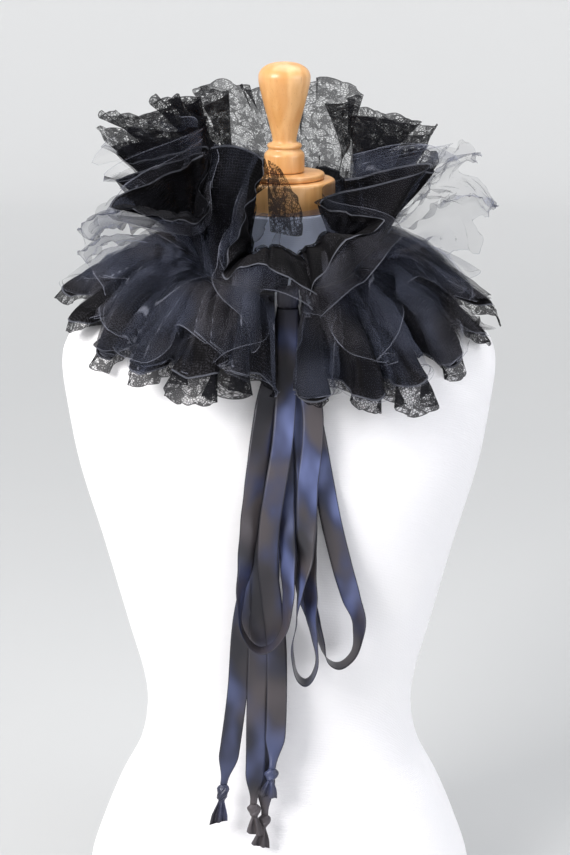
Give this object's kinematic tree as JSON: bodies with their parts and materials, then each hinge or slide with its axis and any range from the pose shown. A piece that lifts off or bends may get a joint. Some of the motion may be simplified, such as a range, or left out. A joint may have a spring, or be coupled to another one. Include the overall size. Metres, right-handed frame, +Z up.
{
  "type": "ruff collar on a dress form",
  "caption": "Double ruffle collar of black lace, stiff mesh and tulle, gathered on a band and tied in front with long satin ribbons, on a limbless dress form with a turned wooden finial.",
  "frame": {"origin": "middle of the dress form's flat base, on the surface it stands on", "axes": "+Z up through the form's neck, -Y towards the side where the collar is tied, +X to the right as seen from there"},
  "size_m": [0.4062, 0.3458, 0.8194],
  "materials": {
    "form_cover": "smooth white jersey",
    "maple": "clear varnished, satin",
    "band": "matt black tape",
    "lace": "black floral lace, matt",
    "mesh": "stiff ribbed black mesh, slight sheen",
    "tulle": "soft slate black tulle, see-through",
    "satin": "black satin ribbon"
  },
  "bodies": {
    "root": {"bow_knot": "satin", "end_knot_a": "satin", "end_knot_b": "satin", "end_knot_c": "satin", "end_knot_d": "satin", "finial": "maple", "form_body": "form_cover", "gather_band": "band", "lace_lower": "lace", "lace_upper": "lace", "mesh_lower": "mesh", "mesh_upper": "mesh", "neck_block": "maple", "neck_disc": "maple", "ribbon_loop_left": "satin", "ribbon_loop_middle": "satin", "ribbon_loop_right": "satin", "ribbon_tail_a": "satin", "ribbon_tail_b": "satin", "ribbon_tail_c": "satin", "ribbon_tail_d": "satin", "tulle_lower": "tulle", "tulle_upper": "tulle"}
  },
  "joints": []
}
